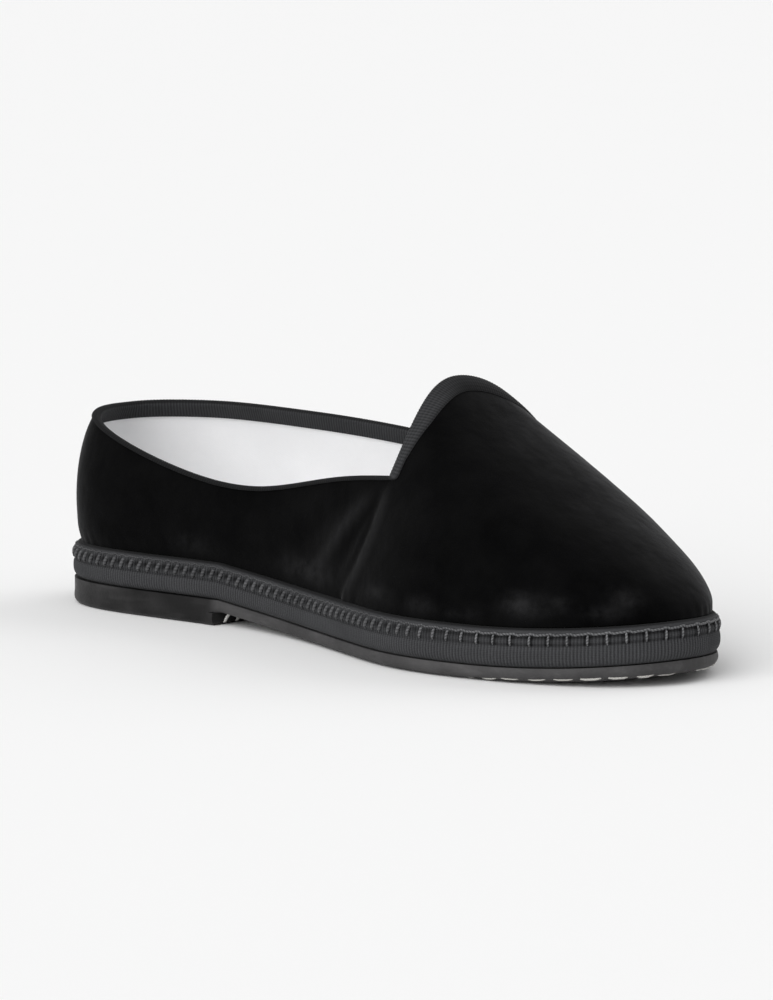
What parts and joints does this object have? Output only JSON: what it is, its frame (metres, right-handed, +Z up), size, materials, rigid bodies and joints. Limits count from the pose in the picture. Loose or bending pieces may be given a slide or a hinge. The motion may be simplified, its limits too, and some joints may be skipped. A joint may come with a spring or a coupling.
{
  "type": "slipper",
  "caption": "Left slipper in black velvet with a raised tongue, taped collar, cloth sole body in ribbed edge tape, rubber outsole and low heel lift.",
  "frame": {"origin": "on the floor, under the middle of the shoe's box", "axes": "+X to the toe, +Y to the lateral (outer) side of the left foot, +Z up"},
  "size_m": [0.262, 0.0943, 0.0833],
  "materials": {
    "outsole": "matt black rubber",
    "heel_lift": "matt black rubber, smooth side",
    "midsole": "black ribbed tape",
    "upper": "black velvet",
    "collar_binding": "black ribbed tape",
    "insole": "white cotton"
  },
  "bodies": {
    "root": {"outsole": "outsole", "heel_lift": "heel_lift", "midsole": "midsole", "upper": "upper", "collar_binding": "collar_binding", "insole": "insole"}
  },
  "joints": []
}
